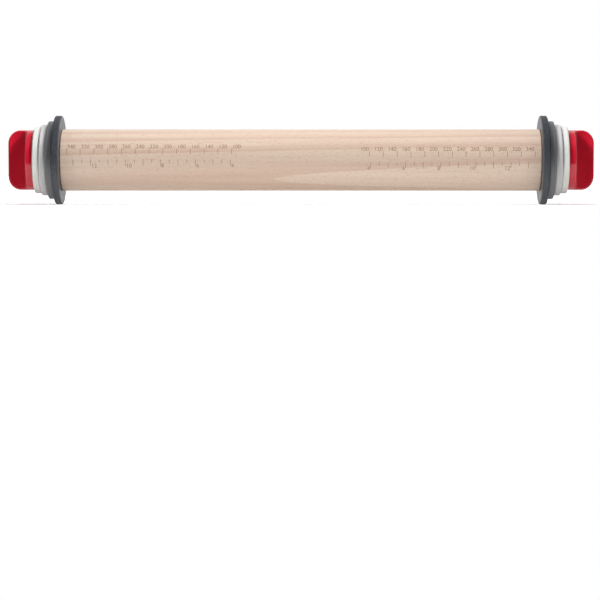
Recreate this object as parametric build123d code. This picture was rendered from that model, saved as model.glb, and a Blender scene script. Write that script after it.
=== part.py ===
from build123d import *
import os

# Adjustable rolling pin: a beech roller with four thickness rings at each end, clamped by a screw knob.
# Millimetres. The pin lies along X, its centre is the origin and the knobs' paddles stand in the XZ plane.

# Roller
roller_diameter = 45.0
roller_length = 350.0
roller_edge_radius = 0.8

# Thickness rings. A step is how far a ring's rim stands out from the roller.
charcoal_step = 10.0
mid_grey_step = 6.0
light_grey_step = 3.5
white_step = 2.0
ring_width = 5.0
ring_edge_radius = 1.0
ring_bore_chamfer = 0.5

# Knob: flange and paddle are one round blank with a scoop on each side
flange_diameter = 44.0
flange_width = 5.2
flange_back_radius = 0.5
paddle_length = 14.2
paddle_corner_radius = 9.0
paddle_waist = 9.5
scoop_radius = 16.0
scoop_from_flange = 7.4
scoop_root_radius = 3.0
knob_edge_radius = 1.0

# Stud on the knob, at its thread's outside diameter, and the bores that take it
stud_diameter = 19.0
stud_engagement = 22.0
stud_tip_chamfer = 1.5
ring_clearance = 0.4
bore_clearance = 0.3
bore_end_room = 3.0
bore_mouth_chamfer = 1.0

# Rings in order from the roller outwards
ring_steps = {
    "charcoal_ring": charcoal_step,
    "mid_grey_ring": mid_grey_step,
    "light_grey_ring": light_grey_step,
    "white_ring": white_step,
}

stack_width = ring_width * len(ring_steps)
stud_length = stack_width + stud_engagement
knob_length = flange_width + paddle_length
roller_end = roller_length / 2
low_corner = (Align.MIN, Align.MIN)


def make_roller():
    # The bores take the whole stud, so the knobs also clamp with every ring taken off
    section = Rectangle(roller_length, roller_diameter / 2, align=(Align.CENTER, Align.MIN))
    section = fillet(section.vertices().group_by(Axis.Y)[-1], roller_edge_radius)
    bore_radius = stud_diameter / 2 + bore_clearance
    bore_depth = stud_length + bore_end_room
    bore = Pos(roller_end - bore_depth, 0) * Rectangle(bore_depth, bore_radius, align=low_corner)
    section = section - bore - mirror(bore, about=Plane.YZ)
    mouths = section.vertices().filter_by_position(Axis.Y, bore_radius, bore_radius).sort_by(Axis.X)
    section = chamfer([mouths[0], mouths[-1]], bore_mouth_chamfer)
    return revolve(section, Axis.X)


def make_ring(step):
    # A flat ring from x = 0 outwards, its rim edges rounded and its bore edges broken
    bore_radius = stud_diameter / 2 + ring_clearance
    wall = roller_diameter / 2 + step - bore_radius
    section = Pos(0, bore_radius) * Rectangle(ring_width, wall, align=low_corner)
    section = fillet(section.vertices().group_by(Axis.Y)[-1], ring_edge_radius)
    section = chamfer(section.vertices().group_by(Axis.Y)[0], ring_bore_chamfer)
    return revolve(section, Axis.X)


def make_scoop():
    # A drum along Z that leaves half the waist beside the paddle's middle plane and stops at the flange
    drum_height = paddle_waist / 2 + scoop_radius
    drum = Pos(flange_width + scoop_from_flange, drum_height) * Circle(scoop_radius)
    beyond_flange = Pos(flange_width, 0) * Rectangle(
        scoop_from_flange + scoop_radius, drum_height + scoop_radius, align=low_corner
    )
    plan = drum & beyond_flange
    root = plan.vertices().group_by(Axis.X)[0].sort_by(Axis.Y)[0]
    return extrude(fillet(root, scoop_root_radius), flange_diameter / 2, both=True)


def make_knob():
    # Flange from x = 0, paddle outwards along +X, stud inwards along -X
    profile = Rectangle(knob_length, flange_diameter / 2, align=low_corner)
    profile = fillet(profile.vertices().group_by(Axis.Y)[-1].sort_by(Axis.X)[-1], paddle_corner_radius)
    profile = fillet(profile.vertices().group_by(Axis.X)[0].sort_by(Axis.Y)[-1], flange_back_radius)
    blank = revolve(profile, Axis.X)

    near_scoop = make_scoop()
    far_scoop = mirror(near_scoop, about=Plane.XZ)
    grip = blank - near_scoop - far_scoop
    grip = fillet(new_edges(blank, near_scoop, far_scoop, combined=grip), knob_edge_radius)

    stud_profile = Pos(-stud_length, 0) * Rectangle(stud_length, stud_diameter / 2, align=low_corner)
    tip = stud_profile.vertices().group_by(Axis.X)[0].sort_by(Axis.Y)[-1]
    return grip + revolve(chamfer(tip, stud_tip_chamfer), Axis.X)


nodes = {"roller": make_roller()}
right_end = {}
for place, (ring_name, step) in enumerate(ring_steps.items()):
    right_end[ring_name] = Pos(roller_end + place * ring_width, 0, 0) * make_ring(step)
right_end["knob"] = Pos(roller_end + stack_width, 0, 0) * make_knob()
for piece_name, piece in right_end.items():
    nodes["left_" + piece_name] = piece.rotate(Axis.Z, 180)
    nodes["right_" + piece_name] = piece

os.makedirs("parts", exist_ok=True)
for node_name, node in nodes.items():
    export_step(node, "parts/" + node_name + ".step")
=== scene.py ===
import bpy
import bmesh
import math
from mathutils import Matrix, Vector


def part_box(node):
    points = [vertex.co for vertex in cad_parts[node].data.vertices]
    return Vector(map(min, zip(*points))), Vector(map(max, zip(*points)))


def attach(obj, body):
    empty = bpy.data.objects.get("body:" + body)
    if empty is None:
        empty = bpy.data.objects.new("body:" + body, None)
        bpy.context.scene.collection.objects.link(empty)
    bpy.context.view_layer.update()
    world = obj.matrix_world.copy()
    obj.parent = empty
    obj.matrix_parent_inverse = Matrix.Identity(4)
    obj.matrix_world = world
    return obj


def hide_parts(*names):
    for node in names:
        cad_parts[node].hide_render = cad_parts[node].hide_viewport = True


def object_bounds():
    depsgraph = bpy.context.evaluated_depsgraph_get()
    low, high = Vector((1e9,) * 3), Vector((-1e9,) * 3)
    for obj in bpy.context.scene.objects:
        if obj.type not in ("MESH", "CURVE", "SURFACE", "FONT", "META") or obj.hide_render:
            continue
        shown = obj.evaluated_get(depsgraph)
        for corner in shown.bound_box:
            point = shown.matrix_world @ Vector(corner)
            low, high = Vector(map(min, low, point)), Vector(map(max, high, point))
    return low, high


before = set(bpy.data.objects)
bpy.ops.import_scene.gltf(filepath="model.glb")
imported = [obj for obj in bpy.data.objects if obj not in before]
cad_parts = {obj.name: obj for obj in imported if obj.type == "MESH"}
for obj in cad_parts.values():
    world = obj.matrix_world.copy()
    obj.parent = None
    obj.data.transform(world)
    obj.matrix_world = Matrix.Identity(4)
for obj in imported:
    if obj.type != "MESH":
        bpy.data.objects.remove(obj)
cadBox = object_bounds()
mm = 0.001
inch = 25.4 * mm
weld = 0.001 * mm           # points nearer than this become one
closeTo = 0.01 * mm         # points this near a plane count as on it
around = 2 * math.pi
pinAxis = Vector((1, 0, 0))
halfTurn = Matrix.Rotation(math.pi, 3, "Z")    # takes the right end's pieces to the left end
sides = {"left": -1, "right": 1}


def toLinear(hexColour):
    parts = [int(hexColour[i:i + 2], 16) / 255 for i in (1, 3, 5)]
    return [c / 12.92 if c <= 0.04045 else ((c + 0.055) / 1.055) ** 2.4 for c in parts] + [1.0]


def addNode(tree, kind, settings=None, inputs=None):
    # an input is a plain value or another node's output
    node = tree.nodes.new(kind)
    for name, value in (settings or {}).items():
        setattr(node, name, value)
    for name, value in (inputs or {}).items():
        if isinstance(value, bpy.types.NodeSocket):
            tree.links.new(value, node.inputs[name])
        else:
            node.inputs[name].default_value = value
    return node


def emptyTree(owner):
    owner.use_nodes = True
    owner.node_tree.nodes.clear()
    return owner.node_tree


def facesAcross(tree, facing, most=1.0):
    # fades in on the faces that look along the pin
    normal = addNode(tree, "ShaderNodeTexCoord").outputs["Normal"]
    along = addNode(tree, "ShaderNodeSeparateXYZ", {}, {0: normal}).outputs[0]
    squareness = addNode(tree, "ShaderNodeMath", {"operation": "ABSOLUTE"}, {0: along})
    return addNode(tree, "ShaderNodeMapRange", {"interpolation_type": "SMOOTHSTEP"}, {
        "Value": squareness.outputs[0], "From Min": facing[0], "From Max": facing[1],
        "To Max": most}).outputs[0]


# Materials

def beechMaterial():
    # Steamed beech, turned and fine sanded: pale pinkish tan with a dull sheen, growth bands that end in a
    # thin darker line, soft streaks and short brown flecks along the grain, darker ends cut across it
    look = {
        "pale": "#D0BFAF", "tan": "#BCA291", "fleck": "#AE8E7B", "end": "#B28A6C",
        "bandWidth": 8.0,                     # mm from one growth line to the next
        "bandStart": 0.40,                    # share of a band that stays pale
        "bandDepth": 0.40,                    # how much its edge darkens the wood
        "pith": (0.0, 0.059, 0.046),          # m, where the log's heart lies from the pin's axis
        "lean": (0.0, 0.0091, -0.0117),       # radians, a tilt that opens the bands to the right
        "phase": 5.365,                       # radians, sets where the pale tongue begins
        "wander": 0.5,                        # how far the bands stray from true rings
        "drawnOut": 0.12,                     # how fast they stray along the grain, against across it
        "streak": (120.0, 2.6),               # mm long and thick
        "streakDepth": 0.7,                   # how much they darken the wood
        "fullTan": 0.85,                      # where bands and streaks together give the tan
        "fleckPitch": (2.7, 0.5),             # mm from fleck to fleck, along and across the grain
        "fleckLevels": (0.54, 0.70),          # of the noise, from no fleck to a full one
        "fleckDepth": 0.48,                   # share of the fleck colour in a full one
        "endFacing": (0.92, 0.995),           # how squarely a face looks along the pin to be an end
        "endDepth": 0.6,                      # share of the end colour on it
        "relief": (0.2, 0.05),                # strength, and depth in mm
        "roughness": 0.45,
        "ior": 1.45,
    }
    material = bpy.data.materials.new("turnedSandedBeech")
    tree = emptyTree(material)
    place = addNode(tree, "ShaderNodeTexCoord").outputs["Object"]

    # Growth rings round the heart, pushed about by slow noise so that they wander
    log = addNode(tree, "ShaderNodeMapping", {}, {
        "Vector": place, "Location": [-distance for distance in look["pith"]],
        "Rotation": look["lean"]}).outputs[0]
    ringPlace = addNode(tree, "ShaderNodeMapping", {}, {
        "Vector": log, "Scale": (look["drawnOut"], 1, 1)}).outputs[0]
    ringScale = around / 20 / (look["bandWidth"] * mm)    # at scale 1 the node repeats every 2 pi / 20
    rings = addNode(tree, "ShaderNodeTexWave", {
        "wave_type": "RINGS", "rings_direction": "X", "wave_profile": "SAW"}, {
        "Vector": ringPlace, "Scale": ringScale, "Distortion": look["wander"], "Detail": 2.0,
        "Detail Scale": 0.5, "Detail Roughness": 0.5, "Phase Offset": look["phase"]})

    # Long soft streaks and short flecks, both drawn out along the pin
    streakLong, streakThick = (1 / (size * mm) for size in look["streak"])
    streakPlace = addNode(tree, "ShaderNodeMapping", {}, {
        "Vector": log, "Scale": (streakLong, streakThick, streakThick)}).outputs[0]
    streaks = addNode(tree, "ShaderNodeTexNoise", {}, {
        "Vector": streakPlace, "Scale": 1.0, "Detail": 3.0, "Roughness": 0.6})
    fleckLong, fleckThick = (1 / (size * mm) for size in look["fleckPitch"])
    fleckPlace = addNode(tree, "ShaderNodeMapping", {}, {
        "Vector": log, "Scale": (fleckLong, fleckThick, fleckThick)}).outputs[0]
    flecks = addNode(tree, "ShaderNodeTexNoise", {}, {
        "Vector": fleckPlace, "Scale": 1.0, "Detail": 1.0, "Roughness": 0.5})
    fleckMask = addNode(tree, "ShaderNodeMapRange", {"interpolation_type": "SMOOTHSTEP"}, {
        "Value": flecks.outputs["Fac"], "From Min": look["fleckLevels"][0],
        "From Max": look["fleckLevels"][1], "To Max": look["fleckDepth"]})

    bandShade = addNode(tree, "ShaderNodeMapRange", {"interpolation_type": "SMOOTHSTEP"}, {
        "Value": rings.outputs["Fac"], "From Min": look["bandStart"], "To Max": look["bandDepth"]})
    toneShade = addNode(tree, "ShaderNodeMath", {"operation": "MULTIPLY_ADD"}, {
        0: streaks.outputs["Fac"], 1: look["streakDepth"], 2: bandShade.outputs[0]})
    tone = addNode(tree, "ShaderNodeMapRange", {}, {
        "Value": toneShade.outputs[0], "From Max": look["fullTan"]})
    wood = addNode(tree, "ShaderNodeMix", {"data_type": "RGBA"}, {
        0: tone.outputs[0], 6: toLinear(look["pale"]), 7: toLinear(look["tan"])})
    flecked = addNode(tree, "ShaderNodeMix", {"data_type": "RGBA"}, {
        0: fleckMask.outputs[0], 6: wood.outputs[2], 7: toLinear(look["fleck"])})

    # The cut ends drink more light than the barrel
    colour = addNode(tree, "ShaderNodeMix", {"data_type": "RGBA"}, {
        0: facesAcross(tree, look["endFacing"], look["endDepth"]), 6: flecked.outputs[2],
        7: toLinear(look["end"])})
    strength, depth = look["relief"]
    grain = addNode(tree, "ShaderNodeBump", {}, {
        "Strength": strength, "Distance": depth * mm, "Height": streaks.outputs["Fac"]})
    shader = addNode(tree, "ShaderNodeBsdfPrincipled", {}, {
        "Base Color": colour.outputs[2], "Roughness": look["roughness"], "IOR": look["ior"],
        "Normal": grain.outputs[0]})
    addNode(tree, "ShaderNodeOutputMaterial", {}, {"Surface": shader.outputs[0]})
    return material


def burntBeechMaterial():
    # Beech scorched by a fine burning tool: matt brown strokes, paler where the tool ran fast
    look = {
        "dark": "#846756", "light": "#A2826C",
        "patch": 1.2,                         # mm
        "roughness": 0.85,
        "specular": 0.2,
    }
    material = bpy.data.materials.new("burntBeech")
    tree = emptyTree(material)
    place = addNode(tree, "ShaderNodeTexCoord").outputs["Object"]
    patches = addNode(tree, "ShaderNodeTexNoise", {}, {
        "Vector": place, "Scale": 1 / (look["patch"] * mm), "Detail": 2.0})
    colour = addNode(tree, "ShaderNodeMix", {"data_type": "RGBA"}, {
        0: patches.outputs["Fac"], 6: toLinear(look["dark"]), 7: toLinear(look["light"])})
    shader = addNode(tree, "ShaderNodeBsdfPrincipled", {}, {
        "Base Color": colour.outputs[2], "Roughness": look["roughness"],
        "Specular IOR Level": look["specular"]})
    addNode(tree, "ShaderNodeOutputMaterial", {}, {"Surface": shader.outputs[0]})
    return material


mould = {
    "rubLevels": (0.3, 0.7),                  # of the noise, from the smoothest gloss to the dullest
    "faceFacing": (0.85, 0.99),               # how squarely a face looks along the pin to be polished
    "paintedGlintLevels": (0.54, 0.68),              # of the grain, from no painted glint to a full one
}


def mouldedPlastic(name, look):
    # Moulded plastic: slow drift in the colour, a gloss that varies a little and the grain of the mould,
    # with painted glints on the rim where the look has them
    material = bpy.data.materials.new(name)
    tree = emptyTree(material)
    place = addNode(tree, "ShaderNodeTexCoord").outputs["Object"]
    drift = addNode(tree, "ShaderNodeTexNoise", {}, {
        "Vector": place, "Scale": 1 / (look["drift"] * mm), "Detail": 2.0})
    colour = addNode(tree, "ShaderNodeMix", {"data_type": "RGBA"}, {
        0: drift.outputs["Fac"], 6: toLinear(look["deep"]), 7: toLinear(look["bright"])})
    rub = addNode(tree, "ShaderNodeTexNoise", {}, {
        "Vector": place, "Scale": 1 / (look["rub"] * mm), "Detail": 4.0, "Roughness": 0.65})
    gloss = addNode(tree, "ShaderNodeMapRange", {}, {
        "Value": rub.outputs["Fac"], "From Min": mould["rubLevels"][0], "From Max": mould["rubLevels"][1],
        "To Min": look["roughness"][0], "To Max": look["roughness"][1]})

    # Faces across the pin come off a polished part of the mould, without the rim's grain and its painted
    # glints
    polished = facesAcross(tree, mould["faceFacing"])
    roughness = addNode(tree, "ShaderNodeMix", {}, {
        0: polished, 2: gloss.outputs[0], 3: look["faceRoughness"]})
    grain = addNode(tree, "ShaderNodeTexNoise", {}, {
        "Vector": place, "Scale": 1 / (look["grain"] * mm), "Detail": 2.0, "Roughness": 0.6})
    # painted glints: pale specks mixed into the rim's colour stand in for the highlights its rough grain
    # would catch
    if "paintedGlint" in look:
        paintedGlints = addNode(tree, "ShaderNodeMapRange", {"interpolation_type": "SMOOTHSTEP"}, {
            "Value": grain.outputs["Fac"], "From Min": mould["paintedGlintLevels"][0],
            "From Max": mould["paintedGlintLevels"][1], "To Max": look["paintedGlintShare"]})
        rimPaintedGlints = addNode(tree, "ShaderNodeMix", {}, {0: polished, 2: paintedGlints.outputs[0], 3: 0.0})
        colour = addNode(tree, "ShaderNodeMix", {"data_type": "RGBA"}, {
            0: rimPaintedGlints.outputs[0], 6: colour.outputs[2], 7: toLinear(look["paintedGlint"])})
    rimOnly = addNode(tree, "ShaderNodeMath", {"operation": "MULTIPLY_ADD"}, {
        0: polished, 1: -look["grainStrength"], 2: look["grainStrength"]})
    bump = addNode(tree, "ShaderNodeBump", {}, {
        "Strength": rimOnly.outputs[0], "Distance": look["grainDepth"] * mm,
        "Height": grain.outputs["Fac"]})
    shader = addNode(tree, "ShaderNodeBsdfPrincipled", {}, {
        "Base Color": colour.outputs[2], "Roughness": roughness.outputs[0], "IOR": look["ior"],
        "Normal": bump.outputs[0]})
    addNode(tree, "ShaderNodeOutputMaterial", {}, {"Surface": shader.outputs[0]})
    return material


# drift, rub, grain and grainDepth are in mm
plasticLooks = {
    # Polished ABS knobs: clear gloss that mirrors the table
    "polishedRedAbs": {
        "deep": "#C3162D", "bright": "#CD1C33", "drift": 18.0,
        "rub": 6.0, "roughness": (0.10, 0.18), "faceRoughness": 0.12,
        "grain": 0.9, "grainDepth": 0.01, "grainStrength": 0.12, "ior": 1.53},
    # Spark-eroded mould: a rough grain on a dark grey with a blue tinge, and painted glints on the rim
    "sparkGrainCharcoalNylon": {
        "deep": "#2C2F35", "bright": "#35383E", "drift": 9.0,
        "rub": 2.0, "roughness": (0.60, 0.75), "faceRoughness": 0.40,
        "grain": 0.50, "grainDepth": 0.20, "grainStrength": 1.0, "ior": 1.53,
        "paintedGlint": "#7E8288", "paintedGlintShare": 0.45},    # painted glints: pale specks in the colour that stand in for highlights, twice as wide as real ones so that they show
    # Satin rings: even colour, faint grain
    "satinMidGreyNylon": {
        "deep": "#656669", "bright": "#6D6E71", "drift": 12.0,
        "rub": 4.0, "roughness": (0.45, 0.58), "faceRoughness": 0.25,
        "grain": 0.5, "grainDepth": 0.02, "grainStrength": 0.3, "ior": 1.52},
    "satinLightGreyNylon": {
        "deep": "#BDBCBE", "bright": "#C5C4C5", "drift": 12.0,
        "rub": 4.0, "roughness": (0.38, 0.50), "faceRoughness": 0.25,
        "grain": 0.5, "grainDepth": 0.02, "grainStrength": 0.25, "ior": 1.52},
    "satinWhiteNylon": {
        "deep": "#D2D2CE", "bright": "#D9D9D5", "drift": 12.0,
        "rub": 4.0, "roughness": (0.38, 0.50), "faceRoughness": 0.25,
        "grain": 0.5, "grainDepth": 0.02, "grainStrength": 0.25, "ior": 1.52},
}
plastics = {name: mouldedPlastic(name, look) for name, look in plasticLooks.items()}
beech = beechMaterial()
burntBeech = burntBeechMaterial()
print("materials done")


# Shared modelling steps

def shadeByAngle(bm, sharpest=35):
    # an edge that turns by more degrees stays sharp
    for face in bm.faces:
        face.smooth = True
    for edge in bm.edges:
        edge.smooth = not edge.is_manifold or edge.calc_face_angle() < math.radians(sharpest)


def finishPiece(bm, name, body, material, replaced=None):
    mesh = bpy.data.meshes.new(name)
    shadeByAngle(bm)
    bm.to_mesh(mesh)
    bm.free()
    mesh.materials.append(material)
    piece = bpy.data.objects.new(name, mesh)
    bpy.context.scene.collection.objects.link(piece)
    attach(piece, body)
    if replaced:
        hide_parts(replaced)
    return piece


def evenNormals(piece):
    # the large faces keep their own direction and only the rounded edges shade softly
    even = piece.modifiers.new("evenNormals", "WEIGHTED_NORMAL")
    even.keep_sharp = True


def addOutline(bm, outline):
    # points are (along the pin, from its axis)
    verts = [bm.verts.new((along, 0, out)) for along, out in outline]
    return verts + [bm.edges.new(pair) for pair in zip(verts, verts[1:])]


def everything(bm):
    return bm.verts[:] + bm.edges[:] + bm.faces[:]


def addTo(bm, other):
    # the other mesh becomes part of bm
    carrier = bpy.data.meshes.new("carrier")
    other.to_mesh(carrier)
    other.free()
    bm.from_mesh(carrier)
    bpy.data.meshes.remove(carrier)


def edgesAt(bm, along):
    return [edge for edge in bm.edges if all(abs(v.co.x - along) < closeTo for v in edge.verts)]


def openEdgesAt(bm, along):
    return [edge for edge in edgesAt(bm, along) if edge.is_boundary]


# Screw thread, right-handed at both ends

thread = {
    "pitch": 2.5 * mm,
    "crest": 9.5 * mm,           # radii
    "root": 8.5 * mm,
    "flat": 0.3 * mm,            # width of the crests and of the roots
    "fit": 0.2 * mm,             # the wood's thread is this much larger in radius
    "stepsPerTurn": 72,
    "turnWeld": 0.004 * mm,      # joins each turn to the next
    "datum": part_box("right_knob")[0].x,
}


def threadTube(start, end, wider=0.0):
    # One tooth's outline climbs a helix from the datum, so the stud and the bore stay in step
    pitch, flat = thread["pitch"], thread["flat"]
    root, crest = thread["root"] + wider, thread["crest"] + wider
    flank = pitch / 2 - flat
    tooth = [(0, root), (flat, root), (flat + flank, crest), (2 * flat + flank, crest), (pitch, root)]
    turnsBefore = math.floor((start - thread["datum"]) / pitch) - 1
    first = thread["datum"] + turnsBefore * pitch
    turns = math.ceil((end - first) / pitch) + 1
    bm = bmesh.new()
    bmesh.ops.spin(
        bm, geom=addOutline(bm, [(first + along, out) for along, out in tooth]), cent=(0, 0, 0),
        axis=pinAxis, dvec=pinAxis * pitch / thread["stepsPerTurn"], angle=around,
        steps=thread["stepsPerTurn"])
    oneTurn = everything(bm)
    for turn in range(1, turns):
        copied = bmesh.ops.duplicate(bm, geom=oneTurn)["geom"]
        bmesh.ops.translate(
            bm, vec=pinAxis * pitch * turn, verts=[v for v in copied if isinstance(v, bmesh.types.BMVert)])
    bmesh.ops.remove_doubles(bm, verts=bm.verts, dist=thread["turnWeld"])
    for cut, outwards in ((start, -1), (end, 1)):
        bmesh.ops.bisect_plane(
            bm, geom=everything(bm), dist=weld, plane_co=(cut, 0, 0), plane_no=(outwards, 0, 0),
            clear_outer=True)
    return bm


# Roller: turned barrel with rounded ends and a threaded blind bore in each

roller = {
    "end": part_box("roller")[1].x,
    "radius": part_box("roller")[1].z,
    "edgeRadius": 0.8 * mm,
    "edgeSegments": 6,
    "mouthRadius": 10.8 * mm,
    "mouthDepth": 1.0 * mm,
    "boreDepth": 45.0 * mm,
    "steps": 180,
}


def makeRoller():
    bm = bmesh.new()
    end, radius, mouth = roller["end"], roller["radius"], roller["mouthRadius"]
    boreEnd = end - roller["boreDepth"]
    barrel = addOutline(bm, [(-end, mouth), (-end, radius), (end, radius), (end, mouth)])
    bmesh.ops.spin(
        bm, geom=barrel, cent=(0, 0, 0), axis=pinAxis, dvec=(0, 0, 0), angle=around,
        steps=roller["steps"], use_merge=True)
    bmesh.ops.remove_doubles(bm, verts=bm.verts, dist=weld)
    corners = [edge for edge in edgesAt(bm, -end) + edgesAt(bm, end)
               if all(v.co.yz.length > radius - closeTo for v in edge.verts)]
    bmesh.ops.bevel(
        bm, geom=corners, offset=roller["edgeRadius"], offset_type="OFFSET",
        segments=roller["edgeSegments"], profile=0.5, affect="EDGES", material=-1)
    for turn in (Matrix.Identity(3), halfTurn):
        bore = threadTube(boreEnd, end - roller["mouthDepth"], thread["fit"])
        bmesh.ops.rotate(bore, verts=bore.verts, cent=(0, 0, 0), matrix=turn)
        side = turn[0][0]
        addTo(bm, bore)
        bmesh.ops.holes_fill(bm, edges=openEdgesAt(bm, side * boreEnd))
        lip = openEdgesAt(bm, side * (end - roller["mouthDepth"]))
        bmesh.ops.bridge_loops(bm, edges=lip + openEdgesAt(bm, side * end))
    bmesh.ops.recalc_face_normals(bm, faces=bm.faces)
    evenNormals(finishPiece(bm, "beechRoller", "roller", beech, "roller"))


makeRoller()
print("roller done")


# Knobs: the moulded grip with its thread cut on the stud

stud = {
    "neck": 0.8 * mm,            # plain length beside the flange
    "lead": 1.5 * mm,            # taper at the tip
    "tipRadius": 8.0 * mm,
}


def makeKnob(side):
    bm = bmesh.new()
    bm.from_mesh(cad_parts["right_knob"].data)
    bmesh.ops.remove_doubles(bm, verts=bm.verts, dist=weld)
    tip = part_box("right_knob")[0].x
    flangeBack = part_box("right_white_ring")[1].x
    plainStud = [face for face in bm.faces if min(v.co.x for v in face.verts) < flangeBack - closeTo]
    bmesh.ops.delete(bm, geom=plainStud, context="FACES")
    addTo(bm, threadTube(tip + stud["lead"], flangeBack - stud["neck"]))
    neck = openEdgesAt(bm, flangeBack - stud["neck"])
    bmesh.ops.bridge_loops(bm, edges=neck + openEdgesAt(bm, flangeBack))
    nose = bmesh.ops.create_circle(
        bm, segments=thread["stepsPerTurn"], radius=stud["tipRadius"], cap_ends=False,
        matrix=Matrix.Translation((tip, 0, 0)) @ Matrix.Rotation(math.pi / 2, 4, "Y"))
    noseEdges = list({edge for v in nose["verts"] for edge in v.link_edges})
    bmesh.ops.bridge_loops(bm, edges=noseEdges + openEdgesAt(bm, tip + stud["lead"]))
    bmesh.ops.holes_fill(bm, edges=[edge for edge in bm.edges if edge.is_boundary])
    bmesh.ops.recalc_face_normals(bm, faces=bm.faces)
    if side == "left":
        bmesh.ops.rotate(bm, verts=bm.verts, cent=(0, 0, 0), matrix=halfTurn)
    evenNormals(finishPiece(
        bm, side + "RedKnob", side + "_knob", plastics["polishedRedAbs"], side + "_knob"))


for side in sides:
    makeKnob(side)
print("knobs done")


# Thickness rings: the frame's own meshes with their finishes

ringFinishes = {
    "charcoal_ring": "sparkGrainCharcoalNylon",
    "mid_grey_ring": "satinMidGreyNylon",
    "light_grey_ring": "satinLightGreyNylon",
    "white_ring": "satinWhiteNylon",
}
for side in sides:
    for ring, finish in ringFinishes.items():
        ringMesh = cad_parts[side + "_" + ring].data
        ringMesh.materials.clear()
        ringMesh.materials.append(plastics[finish])
print("rings done")


# Measuring scales burned into the barrel: the number is the pastry's width between the two marks

scale = {
    "widths": range(340, 99, -20),          # millimetres
    "halfInches": range(26, 7, -1),         # 13 to 4 inches
    "numberedInches": (12, 10, 8, 6, 4),
    "stroke": 0.35 * mm,
    "depth": 0.25 * mm,
    "proud": 0.03 * mm,                     # keeps the marks clear of the wood's own surface
    "mmNumber": (20.3, 3.2 * mm),           # degrees above the front, height
    "mmTick": (9.0, 19.8),                  # degrees
    "inchNumber": (-15.8, 3.2 * mm),
    "inchTick": (-12.3, -0.9),
    "halfInchTick": (-7.4, -0.9),
    "digitShare": 0.729,                    # of the font's size
    "curveSteps": 4,
    "narrow": 0.95,                         # the digits are slimmer than the plain font
    "gap": 0.45 * mm,                       # from a tick to its number
    "turn": {"left": 2.0, "right": -3.0},   # degrees, the two scales were burned apart
    "cutEvery": 1.5,                        # degrees, so that the flat marks bend round the barrel
}


def addTick(bm, along, span):
    low, high = (math.radians(angle) * roller["radius"] for angle in span)
    size = Matrix.Diagonal((scale["stroke"], high - low, scale["depth"], 1))
    bmesh.ops.create_cube(bm, size=1, matrix=Matrix.Translation((along, (low + high) / 2, 0)) @ size)


def addNumber(bm, along, number, place, side):
    # the number stands on the pin's middle side of its tick
    foot, height = place
    words = bpy.data.curves.new("number", "FONT")
    words.body = str(number)
    words.align_x = "LEFT" if side == "left" else "RIGHT"
    words.size = height / scale["digitShare"]
    words.extrude = scale["depth"] / 2
    words.resolution_u = scale["curveSteps"]
    carrier = bpy.data.objects.new("number", words)
    digits = bpy.data.meshes.new_from_object(carrier)
    start = along - sides[side] * scale["gap"]
    digits.transform(
        Matrix.Translation((start, math.radians(foot) * roller["radius"], 0))
        @ Matrix.Diagonal((scale["narrow"], 1, 1, 1)))
    bm.from_mesh(digits)
    bpy.data.objects.remove(carrier)
    bpy.data.curves.remove(words)
    bpy.data.meshes.remove(digits)


def wrapRound(bm, turn):
    # flat marks are cut into strips and laid round the barrel, x along it and y round it
    heights = [v.co.y for v in bm.verts]
    strip = math.radians(scale["cutEvery"]) * roller["radius"]
    for i in range(math.ceil(min(heights) / strip), math.floor(max(heights) / strip) + 1):
        bmesh.ops.bisect_plane(
            bm, geom=everything(bm), dist=weld, plane_co=(0, i * strip, 0), plane_no=(0, 1, 0))
    for v in bm.verts:
        angle = v.co.y / roller["radius"] + math.radians(turn)
        out = roller["radius"] + scale["proud"] - scale["depth"] / 2 + v.co.z
        v.co = (v.co.x, -out * math.cos(angle), out * math.sin(angle))


def makeScale(side):
    bm = bmesh.new()
    for width in scale["widths"]:
        along = sides[side] * width / 2 * mm
        addTick(bm, along, scale["mmTick"])
        addNumber(bm, along, width, scale["mmNumber"], side)
    for halves in scale["halfInches"]:
        along = sides[side] * halves / 4 * inch
        addTick(bm, along, scale["halfInchTick"] if halves % 2 else scale["inchTick"])
        if halves / 2 in scale["numberedInches"]:
            addNumber(bm, along, halves // 2, scale["inchNumber"], side)
    bmesh.ops.remove_doubles(bm, verts=bm.verts, dist=weld)
    # the digits get better triangles, without slivers
    bmesh.ops.beautify_fill(bm, faces=bm.faces, edges=bm.edges, method="ANGLE")
    wrapRound(bm, scale["turn"][side])
    bmesh.ops.dissolve_degenerate(bm, dist=weld, edges=bm.edges)
    bmesh.ops.recalc_face_normals(bm, faces=bm.faces)
    finishPiece(bm, side + "Scale", "roller", burntBeech)


for side in sides:
    makeScale(side)
print("scales done")


# Stage: white table and surroundings, a soft lamp overhead and two lamps that cross over the pin

studio = {
    "table": "#EDEDEB",
    "tableReach": ((-3.0, -0.13), (3.0, 3.0)),    # m, the table's near left and far right corners
    "litReach": (0.25, 0.45),               # m from the middle, where the lamps' light gives out
    "nearGlow": 0.20,                       # keeps the shadow on the table pale
    "farGlow": 0.95,                        # keeps the table white beyond the lamps' reach
    "lightTable": 0.27,                     # light that comes up through the table
    "walls": "#FFFFFF",
    "darkRoom": "#3C3C3C",                  # what the gloss sees on the camera's side
    "darkFrom": (-0.15, -0.55),             # towards the camera, where the walls fade into the dark
    "ceiling": "#969696",
    "ceilingFrom": (0.70, 0.90),            # upwards, where the walls end and the ceiling begins
    "ambient": 0.06,
    "sideLight": 0.35,                      # pale walls beyond both ends
    "sideFrom": (0.5, 0.9),                 # along the pin, where they begin
    "topPlace": (0.0, 0.0, 0.50),           # m
    "topSize": (0.30, 0.15),                # m
    "topPower": 2.5,                        # W
    "crossPlace": (0.70, -0.70, 0.54),      # of the right-hand lamp, which lights the left half
    "crossAim": (-1.24, 0.0, 0.0),
    "crossCone": 65.0,                      # degrees
    "crossBlend": 1.0,
    "crossRadius": 0.18,                    # m
    "crossPower": 90.0,                     # W
}


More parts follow.
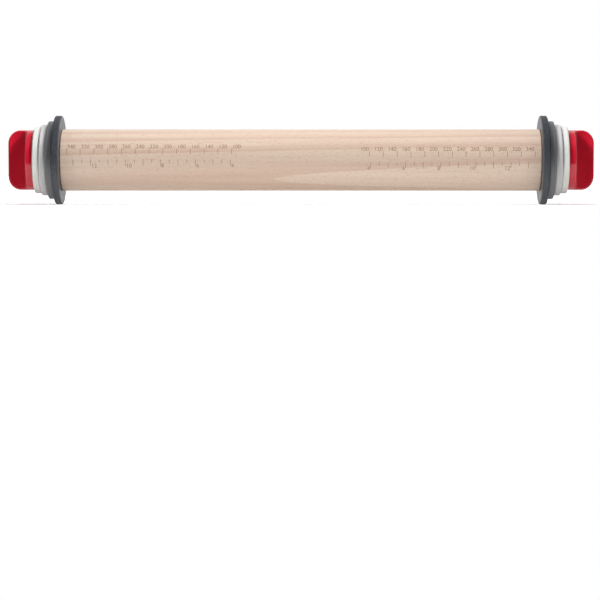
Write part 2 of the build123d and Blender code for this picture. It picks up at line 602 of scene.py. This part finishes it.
def seenRays(tree):
    # 1 for rays from the camera, off gloss and through glass
    rays = addNode(tree, "ShaderNodeLightPath").outputs
    either = addNode(tree, "ShaderNodeMath", {"operation": "MAXIMUM"}, {
        0: rays["Is Camera Ray"], 1: rays["Is Glossy Ray"]})
    return addNode(tree, "ShaderNodeMath", {"operation": "MAXIMUM"}, {
        0: either.outputs[0], 1: rays["Is Transmission Ray"]}).outputs[0]


def makeTable():
    bm = bmesh.new()
    (left, near), (right, far) = studio["tableReach"]
    corners = ((left, near), (right, near), (right, far), (left, far))
    bm.faces.new([bm.verts.new((x, y, cadBox[0].z)) for x, y in corners])
    mesh = bpy.data.meshes.new("table")
    bm.to_mesh(mesh)
    bm.free()
    material = bpy.data.materials.new("whiteTable")
    tree = emptyTree(material)
    matt = addNode(tree, "ShaderNodeBsdfDiffuse", {}, {"Color": toLinear(studio["table"])})
    fromMiddle = addNode(tree, "ShaderNodeVectorMath", {"operation": "LENGTH"}, {
        0: addNode(tree, "ShaderNodeTexCoord").outputs["Object"]}).outputs["Value"]
    unlit = addNode(tree, "ShaderNodeMapRange", {"interpolation_type": "SMOOTHSTEP"}, {
        "Value": fromMiddle, "From Min": studio["litReach"][0], "From Max": studio["litReach"][1],
        "To Min": studio["nearGlow"], "To Max": studio["farGlow"]})
    glowLevel = addNode(tree, "ShaderNodeMath", {"operation": "MULTIPLY_ADD"}, {
        0: seenRays(tree), 1: unlit.outputs[0], 2: studio["lightTable"]})
    glow = addNode(tree, "ShaderNodeEmission", {}, {"Strength": glowLevel.outputs[0]})
    both = addNode(tree, "ShaderNodeAddShader", {}, {0: matt.outputs[0], 1: glow.outputs[0]})
    addNode(tree, "ShaderNodeOutputMaterial", {}, {"Surface": both.outputs[0]})
    mesh.materials.append(material)
    table = bpy.data.objects.new("table", mesh)
    bpy.context.scene.collection.objects.link(table)


def makeWorld():
    # The camera sees white, the gloss a grey ceiling and a dark room on the camera's side,
    # and dim walls light the pin
    world = bpy.data.worlds.new("studio")
    bpy.context.scene.world = world
    tree = emptyTree(world)
    towards = addNode(tree, "ShaderNodeSeparateXYZ", {}, {
        0: addNode(tree, "ShaderNodeTexCoord").outputs["Generated"]}).outputs
    front = addNode(tree, "ShaderNodeMapRange", {"interpolation_type": "SMOOTHSTEP"}, {
        "Value": towards[1], "From Min": studio["darkFrom"][0], "From Max": studio["darkFrom"][1]})
    overhead = addNode(tree, "ShaderNodeMapRange", {"interpolation_type": "SMOOTHSTEP"}, {
        "Value": towards[2], "From Min": studio["ceilingFrom"][0], "From Max": studio["ceilingFrom"][1]})
    room = addNode(tree, "ShaderNodeMix", {"data_type": "RGBA"}, {
        0: front.outputs[0], 6: toLinear(studio["walls"]), 7: toLinear(studio["darkRoom"])})
    mirrored = addNode(tree, "ShaderNodeMix", {"data_type": "RGBA"}, {
        0: overhead.outputs[0], 6: room.outputs[2], 7: toLinear(studio["ceiling"])})
    seen = addNode(tree, "ShaderNodeMix", {"data_type": "RGBA"}, {
        0: addNode(tree, "ShaderNodeLightPath").outputs["Is Camera Ray"],
        6: mirrored.outputs[2], 7: toLinear(studio["walls"])})
    seenLight = addNode(tree, "ShaderNodeBackground", {}, {"Color": seen.outputs[2]})
    sideways = addNode(tree, "ShaderNodeMath", {"operation": "ABSOLUTE"}, {0: towards[0]})
    dimLight = addNode(tree, "ShaderNodeMapRange", {"interpolation_type": "SMOOTHSTEP"}, {
        "Value": sideways.outputs[0], "From Min": studio["sideFrom"][0], "From Max": studio["sideFrom"][1],
        "To Min": studio["ambient"], "To Max": studio["sideLight"]})
    plainLight = addNode(tree, "ShaderNodeBackground", {}, {"Strength": dimLight.outputs[0]})
    choice = addNode(tree, "ShaderNodeMixShader", {}, {
        0: seenRays(tree), 1: plainLight.outputs[0], 2: seenLight.outputs[0]})
    addNode(tree, "ShaderNodeOutputWorld", {}, {"Surface": choice.outputs[0]})


def placeLamp(lamp, place, aim):
    holder = bpy.data.objects.new(lamp.name, lamp)
    holder.location = place
    holder.rotation_euler = (Vector(aim) - holder.location).to_track_quat("-Z", "Y").to_euler()
    holder.visible_glossy = False           # the gloss sees the surroundings, not the lamps
    bpy.context.scene.collection.objects.link(holder)


def makeLamps():
    top = bpy.data.lights.new("top", "AREA")
    top.shape = "RECTANGLE"
    top.size, top.size_y = studio["topSize"]
    top.energy = studio["topPower"]
    placeLamp(top, studio["topPlace"], (0, 0, 0))
    for side, sign in sides.items():
        cross = bpy.data.lights.new(side + "Cross", "SPOT")
        cross.energy = studio["crossPower"]
        cross.spot_size = math.radians(studio["crossCone"])
        cross.spot_blend = studio["crossBlend"]
        cross.shadow_soft_size = studio["crossRadius"]
        mirrorX = Vector((sign, 1, 1))
        placeLamp(cross, Vector(studio["crossPlace"]) * mirrorX, Vector(studio["crossAim"]) * mirrorX)


makeTable()
makeWorld()
makeLamps()
bpy.context.scene.view_settings.view_transform = "Standard"
print("stage done")


# Camera: far off and level with the pin, tipped down so that the pin is high in the picture

view = {
    "distance": 1.7,             # m
    "azimuth": 0.5,              # degrees
    "aim": -0.6 * mm,            # along the pin
    "tipDown": 3.465,            # degrees
    "lens": 138.6,               # mm
    "sensor": 36.0,              # mm wide
    "clipStart": 0.01,           # m
}


def makeCamera():
    data = bpy.data.cameras.new("camera")
    data.sensor_width = view["sensor"]
    data.lens = view["lens"]
    data.clip_start = view["clipStart"]
    camera = bpy.data.objects.new("camera", data)
    angle = math.radians(view["azimuth"])
    camera.location = (view["distance"] * math.sin(angle), -view["distance"] * math.cos(angle), 0)
    level = (Vector((view["aim"], 0, 0)) - camera.location).to_track_quat("-Z", "Y").to_matrix()
    camera.rotation_euler = (level @ Matrix.Rotation(math.radians(-view["tipDown"]), 3, "X")).to_euler()
    bpy.context.scene.collection.objects.link(camera)
    bpy.context.scene.camera = camera


makeCamera()
print("camera done")
